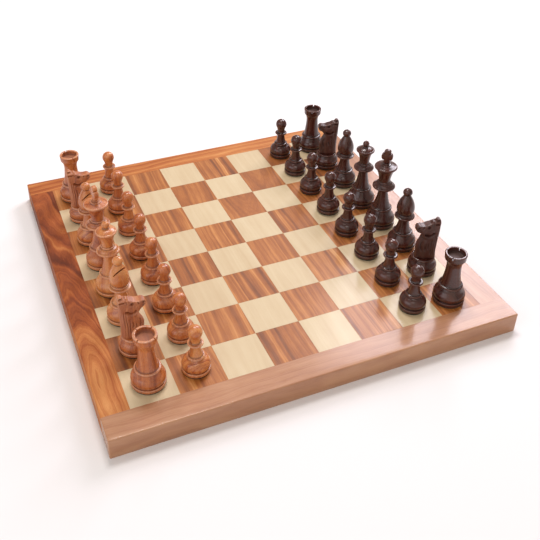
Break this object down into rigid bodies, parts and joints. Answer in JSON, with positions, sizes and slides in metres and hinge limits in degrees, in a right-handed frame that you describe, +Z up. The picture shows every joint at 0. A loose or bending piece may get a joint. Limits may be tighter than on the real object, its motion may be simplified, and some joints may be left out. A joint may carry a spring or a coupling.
{
  "type": "chess set with board",
  "caption": "Flat framed wooden chessboard of inlaid light and dark squares, with turned and carved wooden chessmen standing on it, each free to be lifted off.",
  "frame": {"origin": "centre of the board's underside", "axes": "+X runs from the light men's side to the dark men's side, +Y from the h file to the a file, +Z up"},
  "size_m": [0.412, 0.412, 0.1196],
  "materials": {
    "core_panel": "bare panel",
    "border_wood": "satin varnished walnut",
    "light_square_wood": "satin varnished maple",
    "dark_square_wood": "satin varnished walnut",
    "light_men_wood": "polished golden brown wood",
    "dark_men_wood": "polished dark stained wood"
  },
  "bodies": {
    "board": {"board_core": "core_panel", "rail_near": "border_wood", "rail_far": "border_wood", "rail_left": "border_wood", "rail_right": "border_wood", "light_squares": "light_square_wood", "dark_squares": "dark_square_wood"},
    "white_rook_h": {"white_rook_h": "light_men_wood"},
    "white_knight_g": {"white_knight_g": "light_men_wood", "white_knight_g_head": "light_men_wood"},
    "white_bishop_f": {"white_bishop_f": "light_men_wood"},
    "white_queen": {"white_queen": "light_men_wood"},
    "white_king": {"white_king": "light_men_wood", "white_king_cross": "light_men_wood"},
    "white_bishop_c": {"white_bishop_c": "light_men_wood"},
    "white_knight_b": {"white_knight_b": "light_men_wood", "white_knight_b_head": "light_men_wood"},
    "white_rook_a": {"white_rook_a": "light_men_wood"},
    "white_pawn_h": {"white_pawn_h": "light_men_wood"},
    "white_pawn_g": {"white_pawn_g": "light_men_wood"},
    "white_pawn_f": {"white_pawn_f": "light_men_wood"},
    "white_pawn_e": {"white_pawn_e": "light_men_wood"},
    "white_pawn_d": {"white_pawn_d": "light_men_wood"},
    "white_pawn_c": {"white_pawn_c": "light_men_wood"},
    "white_pawn_b": {"white_pawn_b": "light_men_wood"},
    "white_pawn_a": {"white_pawn_a": "light_men_wood"},
    "black_pawn_h": {"black_pawn_h": "dark_men_wood"},
    "black_pawn_g": {"black_pawn_g": "dark_men_wood"},
    "black_pawn_f": {"black_pawn_f": "dark_men_wood"},
    "black_pawn_e": {"black_pawn_e": "dark_men_wood"},
    "black_pawn_d": {"black_pawn_d": "dark_men_wood"},
    "black_pawn_c": {"black_pawn_c": "dark_men_wood"},
    "black_pawn_b": {"black_pawn_b": "dark_men_wood"},
    "black_pawn_a": {"black_pawn_a": "dark_men_wood"},
    "black_rook_h": {"black_rook_h": "dark_men_wood"},
    "black_knight_g": {"black_knight_g": "dark_men_wood", "black_knight_g_head": "dark_men_wood"},
    "black_bishop_f": {"black_bishop_f": "dark_men_wood"},
    "black_king": {"black_king": "dark_men_wood", "black_king_cross": "dark_men_wood"},
    "black_queen": {"black_queen": "dark_men_wood"},
    "black_bishop_c": {"black_bishop_c": "dark_men_wood"},
    "black_knight_b": {"black_knight_b": "dark_men_wood", "black_knight_b_head": "dark_men_wood"},
    "black_rook_a": {"black_rook_a": "dark_men_wood"}
  },
  "joints": [
    {"name": "white_rook_h_lift", "type": "slide", "parent": "board", "child": "white_rook_h", "axis": [0, 0, 1], "range_m": [0, 0.12]},
    {"name": "white_knight_g_lift", "type": "slide", "parent": "board", "child": "white_knight_g", "axis": [0, 0, 1], "range_m": [0, 0.12]},
    {"name": "white_bishop_f_lift", "type": "slide", "parent": "board", "child": "white_bishop_f", "axis": [0, 0, 1], "range_m": [0, 0.12]},
    {"name": "white_queen_lift", "type": "slide", "parent": "board", "child": "white_queen", "axis": [0, 0, 1], "range_m": [0, 0.12]},
    {"name": "white_king_lift", "type": "slide", "parent": "board", "child": "white_king", "axis": [0, 0, 1], "range_m": [0, 0.12]},
    {"name": "white_bishop_c_lift", "type": "slide", "parent": "board", "child": "white_bishop_c", "axis": [0, 0, 1], "range_m": [0, 0.12]},
    {"name": "white_knight_b_lift", "type": "slide", "parent": "board", "child": "white_knight_b", "axis": [0, 0, 1], "range_m": [0, 0.12]},
    {"name": "white_rook_a_lift", "type": "slide", "parent": "board", "child": "white_rook_a", "axis": [0, 0, 1], "range_m": [0, 0.12]},
    {"name": "white_pawn_h_lift", "type": "slide", "parent": "board", "child": "white_pawn_h", "axis": [0, 0, 1], "range_m": [0, 0.12]},
    {"name": "white_pawn_g_lift", "type": "slide", "parent": "board", "child": "white_pawn_g", "axis": [0, 0, 1], "range_m": [0, 0.12]},
    {"name": "white_pawn_f_lift", "type": "slide", "parent": "board", "child": "white_pawn_f", "axis": [0, 0, 1], "range_m": [0, 0.12]},
    {"name": "white_pawn_e_lift", "type": "slide", "parent": "board", "child": "white_pawn_e", "axis": [0, 0, 1], "range_m": [0, 0.12]},
    {"name": "white_pawn_d_lift", "type": "slide", "parent": "board", "child": "white_pawn_d", "axis": [0, 0, 1], "range_m": [0, 0.12]},
    {"name": "white_pawn_c_lift", "type": "slide", "parent": "board", "child": "white_pawn_c", "axis": [0, 0, 1], "range_m": [0, 0.12]},
    {"name": "white_pawn_b_lift", "type": "slide", "parent": "board", "child": "white_pawn_b", "axis": [0, 0, 1], "range_m": [0, 0.12]},
    {"name": "white_pawn_a_lift", "type": "slide", "parent": "board", "child": "white_pawn_a", "axis": [0, 0, 1], "range_m": [0, 0.12]},
    {"name": "black_pawn_h_lift", "type": "slide", "parent": "board", "child": "black_pawn_h", "axis": [0, 0, 1], "range_m": [0, 0.12]},
    {"name": "black_pawn_g_lift", "type": "slide", "parent": "board", "child": "black_pawn_g", "axis": [0, 0, 1], "range_m": [0, 0.12]},
    {"name": "black_pawn_f_lift", "type": "slide", "parent": "board", "child": "black_pawn_f", "axis": [0, 0, 1], "range_m": [0, 0.12]},
    {"name": "black_pawn_e_lift", "type": "slide", "parent": "board", "child": "black_pawn_e", "axis": [0, 0, 1], "range_m": [0, 0.12]},
    {"name": "black_pawn_d_lift", "type": "slide", "parent": "board", "child": "black_pawn_d", "axis": [0, 0, 1], "range_m": [0, 0.12]},
    {"name": "black_pawn_c_lift", "type": "slide", "parent": "board", "child": "black_pawn_c", "axis": [0, 0, 1], "range_m": [0, 0.12]},
    {"name": "black_pawn_b_lift", "type": "slide", "parent": "board", "child": "black_pawn_b", "axis": [0, 0, 1], "range_m": [0, 0.12]},
    {"name": "black_pawn_a_lift", "type": "slide", "parent": "board", "child": "black_pawn_a", "axis": [0, 0, 1], "range_m": [0, 0.12]},
    {"name": "black_rook_h_lift", "type": "slide", "parent": "board", "child": "black_rook_h", "axis": [0, 0, 1], "range_m": [0, 0.12]},
    {"name": "black_knight_g_lift", "type": "slide", "parent": "board", "child": "black_knight_g", "axis": [0, 0, 1], "range_m": [0, 0.12]},
    {"name": "black_bishop_f_lift", "type": "slide", "parent": "board", "child": "black_bishop_f", "axis": [0, 0, 1], "range_m": [0, 0.12]},
    {"name": "black_king_lift", "type": "slide", "parent": "board", "child": "black_king", "axis": [0, 0, 1], "range_m": [0, 0.12]},
    {"name": "black_queen_lift", "type": "slide", "parent": "board", "child": "black_queen", "axis": [0, 0, 1], "range_m": [0, 0.12]},
    {"name": "black_bishop_c_lift", "type": "slide", "parent": "board", "child": "black_bishop_c", "axis": [0, 0, 1], "range_m": [0, 0.12]},
    {"name": "black_knight_b_lift", "type": "slide", "parent": "board", "child": "black_knight_b", "axis": [0, 0, 1], "range_m": [0, 0.12]},
    {"name": "black_rook_a_lift", "type": "slide", "parent": "board", "child": "black_rook_a", "axis": [0, 0, 1], "range_m": [0, 0.12]}
  ]
}
